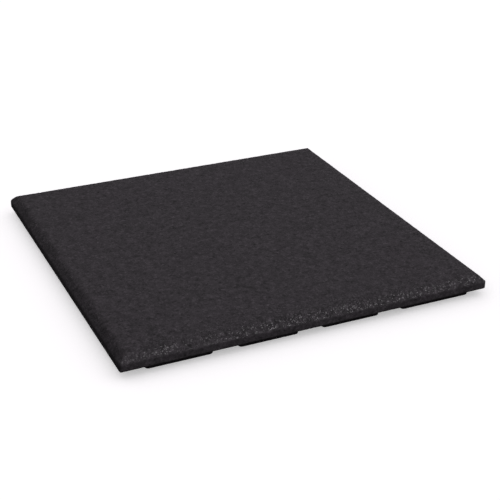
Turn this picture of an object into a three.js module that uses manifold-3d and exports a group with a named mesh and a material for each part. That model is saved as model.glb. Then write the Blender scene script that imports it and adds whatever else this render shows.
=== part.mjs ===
// Rubber gym floor tile, pressed from rubber granules in one mould.
// Millimetres, +Z up. The origin is on the floor, under the middle of the tile.
// A square plate with a bevel round its top stands on a grid of low feet, and the gaps between the
// feet are channels that drain the floor. The whole tile is one solid.

import * as THREE from "three";
import { mergeVertices } from "three/addons/utils/BufferGeometryUtils.js";
import Module from "manifold-3d";

// Plate: its plan, and the heights that add up to the tile's thickness
const tileLength = 500; // along X
const tileWidth = 500; // along Y
const cornerRadius = 3; // of the upright corners, seen from above
const sideHeight = 10; // of the upright face below the bevel
const bevelRise = 10;
const bevelRun = 10; // how far in the bevel reaches
const crestBlend = 5; // length of each side of the crest that the rounding takes

// Feet: rows along X and Y with a channel between neighbours, sized where they meet the floor
const footHeight = 10;
const channelsAlongX = 3; // how many channels a line along X crosses
const channelsAlongY = 3;
const channelPitch = 113;
const channelWidth = 36;
const leftMargin = 36; // from the tile's left side to the feet
const rightMargin = 22; // from its right side, so the last feet of each row are longer than the first
const endMargin = 11; // from the near and far sides to the feet
const footCornerRadius = 3;
const footEdgeRise = 3; // the rounding round the bottom of each foot
const footEdgeRun = 2;
const footRoot = 1; // how far a foot's full width runs up into the plate

const crestSteps = 4;
const cornerSteps = 3;
const footEdgeSteps = 3;

// Heights above the floor
const plateBottom = footHeight;
const bevelBottom = plateBottom + sideHeight;
const tileTop = bevelBottom + bevelRise;

const wasm = await Module();
wasm.setup();

function solidFrom(geometry) {
  const bare = geometry.clone();
  bare.deleteAttribute("normal");
  bare.deleteAttribute("uv");
  const merged = mergeVertices(bare, 1e-4);
  return new wasm.Manifold(
    new wasm.Mesh({
      numProp: 3,
      vertProperties: new Float32Array(merged.attributes.position.array),
      triVerts: new Uint32Array(merged.index.array),
    }),
  );
}

function geometryFrom(solid) {
  const mesh = solid.getMesh();
  const geometry = new THREE.BufferGeometry();
  geometry.setAttribute("position", new THREE.BufferAttribute(mesh.vertProperties, 3));
  geometry.setIndex(new THREE.BufferAttribute(mesh.triVerts, 1));
  geometry.computeVertexNormals();
  return geometry;
}

function roundedRectangle(left, right, near, far, radius) {
  const outline = new THREE.Shape();
  outline.moveTo(left + radius, near);
  outline.lineTo(right - radius, near);
  outline.absarc(right - radius, near + radius, radius, -Math.PI / 2, 0);
  outline.lineTo(right, far - radius);
  outline.absarc(right - radius, far - radius, radius, 0, Math.PI / 2);
  outline.lineTo(left + radius, far);
  outline.absarc(left + radius, far - radius, radius, Math.PI / 2, Math.PI);
  outline.lineTo(left, near + radius);
  outline.absarc(left + radius, near + radius, radius, Math.PI, 1.5 * Math.PI);
  return outline;
}

// The plate cut straight across: an upright face, the bevel and the soft crest on both sides
function plateSection(span) {
  const side = span / 2;
  const crest = side - bevelRun;
  const slopeLength = Math.hypot(bevelRun, bevelRise);
  const blendRun = (crestBlend * bevelRun) / slopeLength;
  const blendRise = (crestBlend * bevelRise) / slopeLength;
  const section = new THREE.Shape();
  section.moveTo(-side, plateBottom);
  section.lineTo(side, plateBottom);
  section.lineTo(side, bevelBottom);
  section.lineTo(crest + blendRun, tileTop - blendRise);
  section.quadraticCurveTo(crest, tileTop, crest - crestBlend, tileTop);
  section.lineTo(crestBlend - crest, tileTop);
  section.quadraticCurveTo(-crest, tileTop, -crest - blendRun, tileTop - blendRise);
  section.lineTo(-side, bevelBottom);
  section.closePath();
  return section;
}

// A section of the given span, run level for the given length and centred on the origin
function plateBar(span, length) {
  const options = { depth: length, bevelEnabled: false, curveSegments: crestSteps };
  const bar = new THREE.ExtrudeGeometry(plateSection(span), options);
  return bar.translate(0, 0, -length / 2).rotateX(Math.PI / 2);
}

// Two bars crossing at right angles keep the bevel on all four sides, mitred at the corners
function makePlate() {
  const [halfLength, halfWidth] = [tileLength / 2, tileWidth / 2];
  const plan = roundedRectangle(-halfLength, halfLength, -halfWidth, halfWidth, cornerRadius);
  const options = { depth: tileTop - plateBottom, bevelEnabled: false, curveSegments: cornerSteps };
  const block = new THREE.ExtrudeGeometry(plan, options).translate(0, 0, plateBottom);
  const alongY = plateBar(tileLength, tileWidth);
  const alongX = plateBar(tileWidth, tileLength).rotateZ(Math.PI / 2);
  return solidFrom(block).intersect(solidFrom(alongY)).intersect(solidFrom(alongX));
}

// Where the feet of one row start and end at floor level, from one margin to the other
function footSpans(span, firstMargin, lastMargin, channels) {
  const starts = [firstMargin - span / 2];
  const ends = [];
  for (let i = 0; i < channels; i += 1) {
    const middle = (i - (channels - 1) / 2) * channelPitch;
    ends.push(middle - channelWidth / 2);
    starts.push(middle + channelWidth / 2);
  }
  ends.push(span / 2 - lastMargin);
  return starts.map((start, i) => [start, ends[i]]);
}

// One foot, from its flat sole up into the plate, rounded all round its bottom edge
function makeFoot([left, right], [near, far]) {
  const sole = roundedRectangle(left, right, near, far, footCornerRadius);
  const options = {
    depth: footHeight - footEdgeRise + footRoot,
    bevelThickness: footEdgeRise,
    bevelSize: footEdgeRun,
    bevelSegments: footEdgeSteps,
    curveSegments: cornerSteps,
  };
  const foot = new THREE.ExtrudeGeometry(sole, options);
  return solidFrom(foot.translate(0, 0, footEdgeRise));
}

function makeTile() {
  let tile = makePlate();
  for (const alongX of footSpans(tileLength, leftMargin, rightMargin, channelsAlongX)) {
    for (const alongY of footSpans(tileWidth, endMargin, endMargin, channelsAlongY)) {
      tile = tile.add(makeFoot(alongX, alongY));
    }
  }
  return tile;
}

const blackRubber = new THREE.MeshStandardMaterial({ color: 0x363336, roughness: 0.85, metalness: 0 });
const rubberTile = new THREE.Mesh(geometryFrom(makeTile()), blackRubber);
rubberTile.name = "rubber_tile";

const gymFloorTile = new THREE.Group();
gymFloorTile.add(rubberTile);

export default gymFloorTile;
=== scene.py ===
"""The looks of the rubber gym floor tile: one closed mesh with granules pressed into its surface.

The mesh is built in metres from the same sizes as the CAD solid, which it replaces, and it stays inside that
solid's box. Its granules are the cells of a Voronoi pattern: geometry nodes press the joints between the
cells into the mesh, and the material colours the same cells.
"""

import math

import bpy
import numpy as np
from mathutils import Matrix, Vector, noise as smooth_noise
from mathutils.geometry import delaunay_2d_cdt


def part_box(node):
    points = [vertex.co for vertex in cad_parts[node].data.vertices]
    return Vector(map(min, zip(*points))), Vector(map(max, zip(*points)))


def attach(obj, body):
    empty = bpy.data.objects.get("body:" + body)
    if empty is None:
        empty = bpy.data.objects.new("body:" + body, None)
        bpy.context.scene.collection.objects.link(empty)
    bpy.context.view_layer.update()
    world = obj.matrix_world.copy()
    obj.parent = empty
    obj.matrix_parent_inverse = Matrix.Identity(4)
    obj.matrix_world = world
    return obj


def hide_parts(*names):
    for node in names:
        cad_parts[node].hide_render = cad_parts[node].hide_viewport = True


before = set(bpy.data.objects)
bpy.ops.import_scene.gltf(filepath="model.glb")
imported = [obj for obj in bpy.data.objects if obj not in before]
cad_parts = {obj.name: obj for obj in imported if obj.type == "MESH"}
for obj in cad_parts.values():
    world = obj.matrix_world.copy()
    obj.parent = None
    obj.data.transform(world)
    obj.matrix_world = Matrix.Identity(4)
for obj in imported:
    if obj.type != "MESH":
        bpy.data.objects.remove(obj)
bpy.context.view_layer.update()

MM = 0.001

# The tile's sizes, as in the CAD solid
low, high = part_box("rubber_tile")
TILE_HALF = np.array([high.x - low.x, high.y - low.y]) / 2
TILE_TOP = high.z
CORNER_RADIUS = 3 * MM
SIDE_HEIGHT = 10 * MM
BEVEL_RUN = 10 * MM
CREST_BLEND = 5 * MM
FOOT_HEIGHT = 10 * MM
CHANNELS = 3
CHANNEL_PITCH = 113 * MM
CHANNEL_WIDTH = 36 * MM
FIRST_MARGIN = np.array([36, 11]) * MM  # from the tile's left and near sides to the soles
LAST_MARGIN = np.array([22, 11]) * MM  # from its right and far sides
FOOT_CORNER_RADIUS = 3 * MM
FOOT_EDGE_RUN = 2 * MM
BEVEL_BOTTOM = FOOT_HEIGHT + SIDE_HEIGHT

# How soft the mesh's smaller edges are
SIDE_ARRIS_BLEND = 1.2 * MM  # where the bevel meets the upright side
LOWER_ARRIS_BLEND = 1.0 * MM  # where the side meets the underside
FOOT_ROOT_BLEND = 1.0 * MM  # where the underside meets a foot
FOOT_EDGE_BLEND = 3 * MM
BLEND_POINTS = 10

# How far apart the mesh's points lie
TOP_STEPS = 168  # along each side of the flat top
RIM_SPACING = 1.25 * MM  # down the plate's edge
LIP = 1.6 * MM  # how far in under the plate its edge reaches
FOOT_STEPS = 26  # along each side of a foot
FOOT_SPACING = 1.4 * MM  # down a foot's side
SOLE_RIM = 4 * MM  # how far in over the sole the foot's side reaches
CEILING_SPACING = 5 * MM  # on the underside between the feet
CEILING_JITTER = 0.3  # of that spacing
CEILING_SEED = 7

# The triangulation of the underside
WITHIN_LOOPS = 1  # its code for a result that ends at the outer loop
SAME_PLACE = 1e-7  # how close together points count as one
NO_LOOP = -1  # stands for a loop's number at the points that are on none

# The granules: their random numbers run from 0 to 1
GRANULE = 1.9 * MM
WOBBLE_SIZE = 1.3  # of a granule's size, as the next two are
WOBBLE_REACH = 0.9
JOINT_WIDTH = 0.22
JOINT_DEPTH = 0.4 * MM
MIDDLE = 0.5  # of the random numbers
TILT = 0.15
LOST_FROM = 0.9  # granules whose random number is above this have come away
LOST_DEPTH = 0.7 * MM

# How strong their relief is, where 1 is full
RELIEF_BELOW = 0.25  # on the upright faces and the underside
RELIEF_BY_INSET = ((10 * MM, 0.8), (16 * MM, 0.5), (45 * MM, 0.15))  # on bevel and top, from the sides in
RELIEF_BY_LEFT = ((15 * MM, 0.5), (45 * MM, 1.0))  # the share of it near the left side, which is smoother
RELIEF_CHANGE = 1 * MM  # above and below the bevel's lower edge, where one gives way to the other
PATCH = 16 * MM  # across a patch where the relief is stronger or weaker
PATCH_SHARE = 0.6

# The rubber's colour
DARKEST_GREY, PALEST_GREY = 0.006, 0.018  # among ordinary granules
GREEN_SHARE = 0.885  # of the grey, so that a little magenta shows
CALM = 0.25  # how strong the pattern is where the granules are pressed flat
JOINT_SHARE = 0.55  # how much darker the joints are
# Paler granules: partly paler rubber, partly painted glints where the relief is strong
PALE_GLINT_FROM = 0.6  # granules whose random number is above this are paler, partly by a painted glint
PALE_GLINT_POWER = 5.0
PALE_GLINT_GREY = 0.012  # what the palest of them gain, partly as paler rubber and partly as painted glint
BLOTCH = 9 * MM
BLOTCH_RAGGEDNESS = 0.7
BLOTCH_SHARE = 0.75  # how much lighter or darker they are at most
LARGE_GRANULE = 3.0 * MM
LARGE_SHARE = 0.55
LARGE_MIDDLE = 0.47  # the random number of a large granule that is neither darker nor lighter

# The rubber's gloss and bump
ROUGH, SMOOTH = 0.85, 0.22
SMOOTH_FROM = 0.8  # granules whose random number is above this are smooth
SPECULAR = 0.12
GRAIN = 0.6 * MM
BUMP_TILT = 0.25
BUMP_JOINT = 0.12 * MM
BUMP_GRAIN = 0.05 * MM


def softened(corners, blends):
    """A path through the corners, each inner one rounded over its blend length on both sides."""
    corners = [np.array(c, float) for c in corners]
    t = np.linspace(0, 1, BLEND_POINTS)[:, None]
    path = [corners[0][None]]
    for before, corner, after, blend in zip(corners, corners[1:], corners[2:], blends, strict=False):
        start = corner + blend * (before - corner) / np.linalg.norm(before - corner)
        end = corner + blend * (after - corner) / np.linalg.norm(after - corner)
        path.append((1 - t) ** 2 * start + 2 * t * (1 - t) * corner + t**2 * end)
    path.append(corners[-1][None])
    return np.concatenate(path)


def evenly_spaced(path, spacing):
    """The path again, with its points about one spacing apart."""
    along = np.concatenate([[0], np.cumsum(np.linalg.norm(np.diff(path, axis=0), axis=1))])
    wanted = np.linspace(0, along[-1], max(2, round(along[-1] / spacing) + 1))
    return np.stack([np.interp(wanted, along, path[:, k]) for k in range(2)], axis=1)


def loop_round(centre, half, radius, height, steps):
    """A closed loop of 4 * steps points round a rounded rectangle, anticlockwise seen from above."""
    t = np.arange(steps) / steps * 2 - 1
    one = np.ones(steps)
    sides = [(t, -one), (one, t), (-t, one), (-one, -t)]
    flat = np.concatenate([np.stack(side, axis=1) for side in sides]) * half
    past = np.abs(flat) - (half - radius)
    in_corner = (past > 0).all(axis=1)
    shrink = radius / np.hypot(*past[in_corner].T)
    flat[in_corner] = np.sign(flat[in_corner]) * (half - radius + past[in_corner] * shrink[:, None])
    return np.column_stack([flat + centre, np.full(len(flat), height)])


def scattered(outline, holes):
    """Points on a grid within the outline and clear of the holes, each nudged off its place."""
    corner = np.abs(outline).max(axis=0) - CEILING_SPACING / 2
    axes = [np.arange(-c, c, CEILING_SPACING) for c in corner]
    points = np.stack(np.meshgrid(*axes), axis=-1).reshape(-1, 2)
    randomly = np.random.default_rng(CEILING_SEED)
    points = points + randomly.uniform(-CEILING_JITTER, CEILING_JITTER, points.shape) * CEILING_SPACING
    for hole in holes:
        lowest = hole.min(axis=0) - CEILING_SPACING / 2
        highest = hole.max(axis=0) + CEILING_SPACING / 2
        points = points[~((points > lowest) & (points < highest)).all(axis=1)]
    return points


class Skin:
    """The tile's surface while it is built: its points and its faces."""

    def __init__(self):
        self.points = []
        self.faces = []
        self.count = 0

    def add(self, points):
        """Adds points and returns their numbers."""
        numbers = np.arange(self.count, self.count + len(points))
        self.points.append(points)
        self.count += len(points)
        return numbers

    def bands(self, loops):
        """Joins each loop to the next, which has as many points."""
        for inner, outer in zip(loops, loops[1:], strict=False):
            quads = np.stack([inner, outer, np.roll(outer, -1), np.roll(inner, -1)], axis=1)
            self.faces.extend(quads.tolist())

    def widening_band(self, inner, outer):
        """Joins a loop to one round it with twice the points."""
        first, middle, last = outer[0::2], outer[1::2], np.roll(outer[0::2], -1)
        self.faces.extend(np.stack([inner, first, middle, last, np.roll(inner, -1)], axis=1).tolist())

    def sheet(self, loop, steps, facing_down):
        """Fills a level rectangular loop with a grid."""
        grid = np.zeros((steps + 1, steps + 1), int)
        grid[:-1, 0] = loop[:steps]
        grid[-1, :-1] = loop[steps : 2 * steps]
        grid[:0:-1, -1] = loop[2 * steps : 3 * steps]
        grid[0, :0:-1] = loop[3 * steps :]
        placed = np.concatenate(self.points)[loop]
        xs, ys, z = placed[1:steps, 0], placed[steps + 1 : 2 * steps, 1], placed[0, 2]
        x, y = np.meshgrid(xs, ys, indexing="ij")
        inside = np.column_stack([x.ravel(), y.ravel(), np.full(x.size, z)])
        grid[1:-1, 1:-1] = self.add(inside).reshape(steps - 1, steps - 1)
        quads = np.stack([grid[:-1, :-1], grid[1:, :-1], grid[1:, 1:], grid[:-1, 1:]], axis=-1)
        quads = quads.reshape(-1, 4)
        self.faces.extend((quads[:, ::-1] if facing_down else quads).tolist())

    def ceiling(self, outer, holes, height):
        """Fills the level underside between the outer loop and the loops of the feet, facing down."""
        placed = np.concatenate(self.points)[:, :2]
        spare = scattered(placed[outer], [placed[hole] for hole in holes])
        added = self.add(np.column_stack([spare, np.full(len(spare), height)]))
        loops = [outer, *holes]
        numbers = np.concatenate([*loops, added])
        owner = np.repeat([*range(len(loops)), NO_LOOP], [*map(len, loops), len(added)])
        edges = []
        for loop in loops:
            first = len(edges)
            edges.extend((first + i, first + (i + 1) % len(loop)) for i in range(len(loop)))
        flat = [Vector(p) for p in np.concatenate(self.points)[numbers, :2]]
        for triangle in delaunay_2d_cdt(flat, edges, [], WITHIN_LOOPS, SAME_PLACE)[2]:
            owners = {owner[i] for i in triangle}
            # The outer loop is number 0, and a triangle with three corners on a later loop fills a hole
            in_hole = len(owners) == 1 and owners.pop() > 0
            if not in_hole:
                self.faces.append([int(numbers[i]) for i in reversed(triangle)])


def plate_path():
    """Inset and height across the plate's edge, from the flat top down to the underside."""
    corners = [
        (BEVEL_RUN + CREST_BLEND, TILE_TOP),
        (BEVEL_RUN, TILE_TOP),
        (0, BEVEL_BOTTOM),
        (0, FOOT_HEIGHT),
        (LIP, FOOT_HEIGHT),
    ]
    return evenly_spaced(softened(corners, [CREST_BLEND, SIDE_ARRIS_BLEND, LOWER_ARRIS_BLEND]), RIM_SPACING)


def foot_path():
    """Inset from the sole's edge and height, from the underside of the plate down and in over the sole."""
    corners = [
        (-FOOT_EDGE_RUN - FOOT_ROOT_BLEND, FOOT_HEIGHT),
        (-FOOT_EDGE_RUN, FOOT_HEIGHT),
        (-FOOT_EDGE_RUN, 0),
        (SOLE_RIM, 0),
    ]
    return evenly_spaced(softened(corners, [FOOT_ROOT_BLEND, FOOT_EDGE_BLEND]), FOOT_SPACING)


def foot_spans(axis):
    """Where the soles of one row start and end along an axis."""
    middles = (np.arange(CHANNELS) - (CHANNELS - 1) / 2) * CHANNEL_PITCH
    starts = [FIRST_MARGIN[axis] - TILE_HALF[axis], *(middles + CHANNEL_WIDTH / 2)]
    ends = [*(middles - CHANNEL_WIDTH / 2), TILE_HALF[axis] - LAST_MARGIN[axis]]
    return list(zip(starts, ends, strict=True))


def loops_along(skin, path, centre, half, corner_radius, steps):
    """A loop for each inset and height of the path. The corners sharpen where it runs inward."""
    loops = []
    for inset, height in path:
        radius = max(corner_radius - inset, 0)
        loops.append(skin.add(loop_round(centre, half - inset, radius, height, steps)))
    return loops


def add_plate(skin):
    """The flat top and the plate's edge. Returns the loop where the edge ends, on the underside."""
    centre = np.zeros(2)
    flat_half = TILE_HALF - BEVEL_RUN - CREST_BLEND - RIM_SPACING
    inner = skin.add(loop_round(centre, flat_half, 0, TILE_TOP, TOP_STEPS))
    skin.sheet(inner, TOP_STEPS, facing_down=False)
    loops = loops_along(skin, plate_path(), centre, TILE_HALF, CORNER_RADIUS, 2 * TOP_STEPS)
    skin.widening_band(inner, loops[0])
    skin.bands(loops)
    return loops[-1]


def add_foot(skin, span_x, span_y):
    """One foot. Returns its loop at the plate's underside."""
    spans = np.array([span_x, span_y])
    centre, half = spans.mean(axis=1), np.diff(spans, axis=1)[:, 0] / 2
    loops = loops_along(skin, foot_path(), centre, half, FOOT_CORNER_RADIUS, FOOT_STEPS)
    skin.bands(loops)
    skin.sheet(loops[-1], FOOT_STEPS, facing_down=True)
    return loops[0]


def relief_strength(points):
    """How strong the relief is at each point. It fades over the top, where the granules are pressed flat."""
    inset = (TILE_HALF - np.abs(points[:, :2])).min(axis=1)
    above = np.interp(inset, *zip(*RELIEF_BY_INSET, strict=True))
    above = above * np.interp(points[:, 0] + TILE_HALF[0], *zip(*RELIEF_BY_LEFT, strict=True))
    share = np.interp(points[:, 2], [BEVEL_BOTTOM - RELIEF_CHANGE, BEVEL_BOTTOM + RELIEF_CHANGE], [0, 1])
    patches = np.array([smooth_noise.noise(point) for point in (points / PATCH).tolist()])
    return (RELIEF_BELOW + share * (above - RELIEF_BELOW)) * (1 + PATCH_SHARE * patches)


def tile_mesh():
    """The whole surface as a mesh that remembers where each point was and how strong its relief is."""
    skin = Skin()
    lip = add_plate(skin)
    roots = [add_foot(skin, x, y) for x in foot_spans(0) for y in foot_spans(1)]
    skin.ceiling(lip, roots, FOOT_HEIGHT)
    points = np.concatenate(skin.points)
    mesh = bpy.data.meshes.new("tile_surface")
    mesh.from_pydata(points.tolist(), [], skin.faces)
    mesh.validate()
    place = mesh.attributes.new("rest_place", "FLOAT_VECTOR", "POINT")
    place.data.foreach_set("vector", points.astype(np.float32).ravel())
    relief = mesh.attributes.new("relief", "FLOAT", "POINT")
    relief.data.foreach_set("value", relief_strength(points).astype(np.float32))
    mesh.polygons.foreach_set("use_smooth", [True] * len(mesh.polygons))
    mesh.update()
    return mesh


def maths(tree, operation, *values, clamp=False):
    """A Math node whose inputs are numbers or sockets. Returns its output."""
    node = tree.nodes.new("ShaderNodeMath")
    node.operation = operation
    node.use_clamp = clamp
    for socket, value in zip(node.inputs, values, strict=False):
        if isinstance(value, (int, float)):
            socket.default_value = value
        else:
            tree.links.new(value, socket)
    return node.outputs[0]


def vector_maths(tree, operation, first, second=None, scale=None):
    """A Vector Math node. Its second vector and its scale are values or sockets. Returns its output."""
    node = tree.nodes.new("ShaderNodeVectorMath")
    node.operation = operation
    tree.links.new(first, node.inputs[0])
    if isinstance(second, tuple):
        node.inputs[1].default_value = second
    elif second is not None:
        tree.links.new(second, node.inputs[1])
    if isinstance(scale, (int, float)):
        node.inputs["Scale"].default_value = scale
    elif scale is not None:
        tree.links.new(scale, node.inputs["Scale"])
    return node.outputs["Value" if operation == "DOT_PRODUCT" else "Vector"]


def noise(tree, place, size, detail=2.0, roughness=0.5):
    node = tree.nodes.new("ShaderNodeTexNoise")
    node.inputs["Scale"].default_value = 1 / size
    node.inputs["Detail"].default_value = detail
    node.inputs["Roughness"].default_value = roughness
    tree.links.new(place, node.inputs["Vector"])
    return node


def voronoi(tree, place, size, feature):
    node = tree.nodes.new("ShaderNodeTexVoronoi")
    node.feature = feature
    node.inputs["Scale"].default_value = 1 / size
    tree.links.new(place, node.inputs["Vector"])
    return node


def grey_ramp(tree, value):
    """The rubber's greys, from the darkest at 0 to the palest at 1."""
    node = tree.nodes.new("ShaderNodeValToRGB")
    for element, grey in zip(node.color_ramp.elements, (DARKEST_GREY, PALEST_GREY), strict=True):
        element.color = (grey, grey * GREEN_SHARE, grey, 1)
    tree.links.new(value, node.inputs[0])
    return node.outputs[0]


def random_numbers(tree, cell, splitter="ShaderNodeSeparateColor"):
    """The three random numbers that a cell's colour holds."""
    split = tree.nodes.new(splitter)
    tree.links.new(cell, split.inputs[0])
    return split.outputs[:3]


def cells(tree, place, size):
    """Cells with wavy joints. Returns the wavy place and the node that knows the nearest cell."""
    wobble = noise(tree, place, size * WOBBLE_SIZE, detail=1.0).outputs["Color"]
    centred = vector_maths(tree, "SUBTRACT", wobble, (MIDDLE, MIDDLE, MIDDLE))
    shift = vector_maths(tree, "SCALE", centred, scale=size * WOBBLE_REACH)
    wavy = vector_maths(tree, "ADD", place, shift)
    return wavy, voronoi(tree, wavy, size, "F1")


def granules(tree, place):
    """The granules, alike in the material and in geometry nodes.

    Returns a random colour for each granule, how far a point lies from the joint to the next granule, from
    0 to 1, and how high it lies on its granule's tilted face.
    """
    wavy, nearest = cells(tree, place, GRANULE)
    cell = nearest.outputs["Color"]
    edge = voronoi(tree, wavy, GRANULE, "DISTANCE_TO_EDGE").outputs["Distance"]
    joint = maths(tree, "DIVIDE", edge, JOINT_WIDTH, clamp=True)
    from_middle = vector_maths(tree, "SUBTRACT", wavy, nearest.outputs["Position"])
    lean = vector_maths(tree, "SUBTRACT", cell, (MIDDLE, MIDDLE, MIDDLE))
    tilt = vector_maths(tree, "DOT_PRODUCT", from_middle, lean)
    return cell, joint, tilt


def mesh_attribute(tree, name, kind):
    node = tree.nodes.new("GeometryNodeInputNamedAttribute")
    node.data_type = kind
    node.inputs["Name"].default_value = name
    return node.outputs["Attribute"]


def pressed_depth(tree):
    """How deep each point is pressed in, below 0: by a joint, a tilted face or a lost granule.

    No point rises above 0, so the mesh stays inside the solid's box.
    """
    cell, joint, tilt = granules(tree, mesh_attribute(tree, "rest_place", "FLOAT_VECTOR"))
    number = random_numbers(tree, cell, "FunctionNodeSeparateColor")[0]
    groove = maths(tree, "MULTIPLY", maths(tree, "SUBTRACT", 1.0, joint), JOINT_DEPTH)
    lost = maths(tree, "MULTIPLY", maths(tree, "GREATER_THAN", number, LOST_FROM), LOST_DEPTH)
    uneven = maths(tree, "ADD", maths(tree, "MULTIPLY", tilt, TILT), TILT * GRANULE / 2)
    sunk = maths(tree, "MAXIMUM", maths(tree, "ADD", maths(tree, "ADD", groove, lost), uneven), 0.0)
    relief = mesh_attribute(tree, "relief", "FLOAT")
    return maths(tree, "MULTIPLY", maths(tree, "MULTIPLY", sunk, relief), -1.0)


def press_granules(obj):
    """Presses the granules' relief into the mesh with geometry nodes, and keeps the result as its mesh."""
    tree = bpy.data.node_groups.new("press_granules", "GeometryNodeTree")
    tree.interface.new_socket("Geometry", in_out="INPUT", socket_type="NodeSocketGeometry")
    tree.interface.new_socket("Geometry", in_out="OUTPUT", socket_type="NodeSocketGeometry")
    start, end = tree.nodes.new("NodeGroupInput"), tree.nodes.new("NodeGroupOutput")
    normal = tree.nodes.new("GeometryNodeInputNormal").outputs[0]
    offset = vector_maths(tree, "SCALE", normal, scale=pressed_depth(tree))
    move = tree.nodes.new("GeometryNodeSetPosition")
    tree.links.new(start.outputs[0], move.inputs["Geometry"])
    tree.links.new(offset, move.inputs["Offset"])
    tree.links.new(move.outputs[0], end.inputs[0])
    obj.modifiers.new("granules", "NODES").node_group = tree
    graph = bpy.context.evaluated_depsgraph_get()
    pressed = bpy.data.meshes.new_from_object(obj.evaluated_get(graph))
    obj.modifiers.clear()
    obj.data = pressed


def shade_of(tree, place, joint, strength):
    """What the granules' grey is multiplied by, for blotches, larger granules and joints."""
    blotch = noise(tree, place, BLOTCH, roughness=BLOTCH_RAGGEDNESS).outputs[0]
    shade = maths(tree, "ADD", maths(tree, "MULTIPLY", blotch, 2 * BLOTCH_SHARE), 1 - BLOTCH_SHARE)
    large = cells(tree, place, LARGE_GRANULE)[1].outputs["Color"]
    number = random_numbers(tree, large)[0]
    # From about -1 to 1, and cubed, so that only a few larger granules stand out
    odd = maths(tree, "MULTIPLY", maths(tree, "SUBTRACT", number, LARGE_MIDDLE), 2.0)
    cubed = maths(tree, "MULTIPLY", maths(tree, "MULTIPLY", odd, odd), odd)
    shade = maths(tree, "ADD", shade, maths(tree, "MULTIPLY", cubed, LARGE_SHARE))
    in_joint = maths(tree, "MULTIPLY", maths(tree, "SUBTRACT", 1.0, joint), strength)
    kept = maths(tree, "SUBTRACT", 1.0, maths(tree, "MULTIPLY", in_joint, JOINT_SHARE))
    return maths(tree, "MULTIPLY", shade, kept)


def rubber_colour(tree, tone, shade, pale, relief):
    """The granules' greys times the shade, with a few paler granules where the relief is strong: partly
    paler rubber, partly a painted glint.
    """
    # The paler granules' gain is partly painted glint
    above = maths(tree, "DIVIDE", maths(tree, "SUBTRACT", pale, PALE_GLINT_FROM), 1 - PALE_GLINT_FROM, clamp=True)
    pale_glint_gain = maths(tree, "MULTIPLY", maths(tree, "POWER", above, PALE_GLINT_POWER), PALE_GLINT_GREY)
    pale_glint_gain = maths(tree, "MULTIPLY", pale_glint_gain, relief)
    return vector_maths(tree, "ADD", vector_maths(tree, "SCALE", tone, scale=shade), pale_glint_gain)


def rubber_roughness(tree, number, relief):
    """Rough, but smoother on some granules, which glint where the relief is strong."""
    smooth = maths(tree, "GREATER_THAN", number, SMOOTH_FROM)
    smoother = maths(tree, "MULTIPLY", maths(tree, "MULTIPLY", smooth, relief), ROUGH - SMOOTH)
    return maths(tree, "SUBTRACT", ROUGH, smoother)


def rubber_bump(tree, place, joint, tilt, strength):
    """The granules' tilted faces, the joints and the fine grain, as heights in metres."""
    faces = maths(tree, "MULTIPLY", tilt, -BUMP_TILT)
    joints = maths(tree, "MULTIPLY", joint, BUMP_JOINT)
    height = maths(tree, "MULTIPLY", maths(tree, "ADD", faces, joints), strength)
    grain = maths(tree, "MULTIPLY", noise(tree, place, GRAIN).outputs[0], BUMP_GRAIN)
    bump = tree.nodes.new("ShaderNodeBump")
    bump.inputs["Distance"].default_value = 1.0
    tree.links.new(maths(tree, "ADD", height, grain), bump.inputs["Height"])
    return bump.outputs[0]


def rubber_material():
    """Matt black granules with darker joints, a few paler ones that are partly painted glints, a few
    smoother ones, larger ones and blotches.
    """
    material = bpy.data.materials.new("granulated_rubber")
    material.use_nodes = True
    tree = material.node_tree
    shader = tree.nodes["Principled BSDF"]
    stored_place = tree.nodes.new("ShaderNodeAttribute")
    stored_place.attribute_name = "rest_place"
    place = stored_place.outputs["Vector"]
    stored_relief = tree.nodes.new("ShaderNodeAttribute")
    stored_relief.attribute_name = "relief"
    relief = stored_relief.outputs["Fac"]

    cell, joint, tilt = granules(tree, place)
    # The first random number picks the paler granules, which are partly painted glints
    pale, smooth, grey = random_numbers(tree, cell)
    strength = maths(tree, "ADD", maths(tree, "MULTIPLY", relief, 1 - CALM), CALM)
    off_middle = maths(tree, "MULTIPLY", maths(tree, "SUBTRACT", grey, MIDDLE), strength)
    tone = grey_ramp(tree, maths(tree, "ADD", off_middle, MIDDLE))
    shade = shade_of(tree, place, joint, strength)

    tree.links.new(rubber_colour(tree, tone, shade, pale, relief), shader.inputs["Base Color"])
    tree.links.new(rubber_roughness(tree, smooth, relief), shader.inputs["Roughness"])
    tree.links.new(rubber_bump(tree, place, joint, tilt, strength), shader.inputs["Normal"])
    shader.inputs["Specular IOR Level"].default_value = SPECULAR
    return material


def add_tile():
    tile = bpy.data.objects.new("tile", tile_mesh())
    bpy.context.scene.collection.objects.link(tile)
    press_granules(tile)
    tile.data.materials.clear()
    tile.data.materials.append(rubber_material())
    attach(tile, "root")
    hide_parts("rubber_tile")
    return tile


# The floor: it shines a little by itself, and throws no light, reflection or shadow on the tile
FLOOR_REACH = 60.0  # metres each way, so that low views don't show its end
FLOOR_GREY = 0.88
FLOOR_ROUGHNESS = 0.9
FLOOR_GLOW = 0.39


def add_floor():
    corners = [(x * FLOOR_REACH, y * FLOOR_REACH, 0) for x, y in ((-1, -1), (1, -1), (1, 1), (-1, 1))]
    mesh = bpy.data.meshes.new("floor")
    mesh.from_pydata(corners, [], [(0, 1, 2, 3)])
    floor = bpy.data.objects.new("floor", mesh)
    floor.visible_diffuse = False
    floor.visible_glossy = False
    floor.visible_shadow = False
    bpy.context.scene.collection.objects.link(floor)
    material = bpy.data.materials.new("pale_floor")
    material.use_nodes = True
    shader = material.node_tree.nodes["Principled BSDF"]
    shader.inputs["Base Color"].default_value = (FLOOR_GREY, FLOOR_GREY, FLOOR_GREY, 1)
    shader.inputs["Roughness"].default_value = FLOOR_ROUGHNESS
    shader.inputs["Emission Color"].default_value = (1, 1, 1, 1)
    shader.inputs["Emission Strength"].default_value = FLOOR_GLOW
    shader.inputs["Specular IOR Level"].default_value = 0.0
    mesh.materials.append(material)
    return floor


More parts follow.
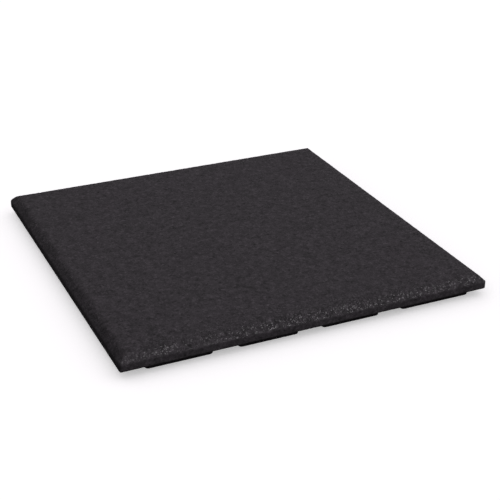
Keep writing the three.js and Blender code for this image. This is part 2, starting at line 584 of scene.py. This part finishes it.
# The light: a glow from the sky and a faint one from below, a softbox in front and to the right that only
# the tile receives, and a broad light overhead that only the floor receives
LIGHT_COLOUR = (1.0, 0.965, 1.0)
HORIZON = -0.02  # a little low, so that nothing dark shows past the end of the floor
GLOW_ABOVE, GLOW_BELOW = 0.6, 0.08  # above the horizon and below it
SOFTBOX_STRENGTH = 5.75
SOFTBOX_WIDTH = 35  # degrees
SOFTBOX_SIDE = (0.38, -0.5, 0.78)
FLOOR_LIGHT_STRENGTH = 0.5
FLOOR_LIGHT_WIDTH = 180
FLOOR_LIGHT_SIDE = (-0.3, -0.35, 0.89)


def add_broad_light(name, strength, width, side, receiver):
    """A light from one side of the sky, as wide as an angle in degrees, that one object receives."""
    data = bpy.data.lights.new(name, "SUN")
    data.energy = strength
    data.color = LIGHT_COLOUR
    data.angle = math.radians(width)
    lamp = bpy.data.objects.new(name, data)
    lamp.rotation_euler = Vector(side).to_track_quat("Z", "Y").to_euler()
    bpy.context.scene.collection.objects.link(lamp)
    receivers = bpy.data.collections.new(name + "_receivers")
    receivers.objects.link(receiver)
    lamp.light_linking.receiver_collection = receivers


def add_sky():
    world = bpy.data.worlds.new("studio")
    world.use_nodes = True
    tree = world.node_tree
    background = tree.nodes["Background"]
    background.inputs["Color"].default_value = LIGHT_COLOUR + (1,)
    direction = tree.nodes.new("ShaderNodeTexCoord").outputs["Generated"]
    split = tree.nodes.new("ShaderNodeSeparateXYZ")
    tree.links.new(direction, split.inputs[0])
    above = maths(tree, "GREATER_THAN", split.outputs["Z"], HORIZON)
    glow = maths(tree, "MULTIPLY_ADD", above, GLOW_ABOVE - GLOW_BELOW, GLOW_BELOW)
    tree.links.new(glow, background.inputs["Strength"])
    bpy.context.scene.world = world


def light_scene(tile, floor):
    add_sky()
    add_broad_light("softbox", SOFTBOX_STRENGTH, SOFTBOX_WIDTH, SOFTBOX_SIDE, tile)
    add_broad_light("floor_light", FLOOR_LIGHT_STRENGTH, FLOOR_LIGHT_WIDTH, FLOOR_LIGHT_SIDE, floor)
    bpy.context.scene.view_settings.view_transform = "Standard"


# The camera, fitted to the photo's outlines with the tile's plan as a 500 mm square
PHOTO_SIDE = 500  # pixels
FOCAL_PIXELS = 1153.6
SENSOR_WIDTH = 36  # mm
CAMERA_PLACE = (-0.5815, -1.318, 0.726)
CAMERA_YAW, CAMERA_PITCH, CAMERA_ROLL = 24.80, 26.70, 0.442  # degrees


def add_camera():
    data = bpy.data.cameras.new("camera")
    data.sensor_width = SENSOR_WIDTH
    data.lens = FOCAL_PIXELS * SENSOR_WIDTH / PHOTO_SIDE
    camera = bpy.data.objects.new("camera", data)
    turn = Matrix.Rotation(math.radians(-CAMERA_YAW), 4, "Z")
    tip = Matrix.Rotation(math.radians(90 - CAMERA_PITCH), 4, "X")
    roll = Matrix.Rotation(math.radians(CAMERA_ROLL), 4, "Z")
    camera.matrix_world = Matrix.Translation(CAMERA_PLACE) @ turn @ tip @ roll
    bpy.context.scene.collection.objects.link(camera)
    bpy.context.scene.camera = camera


light_scene(add_tile(), add_floor())
add_camera()
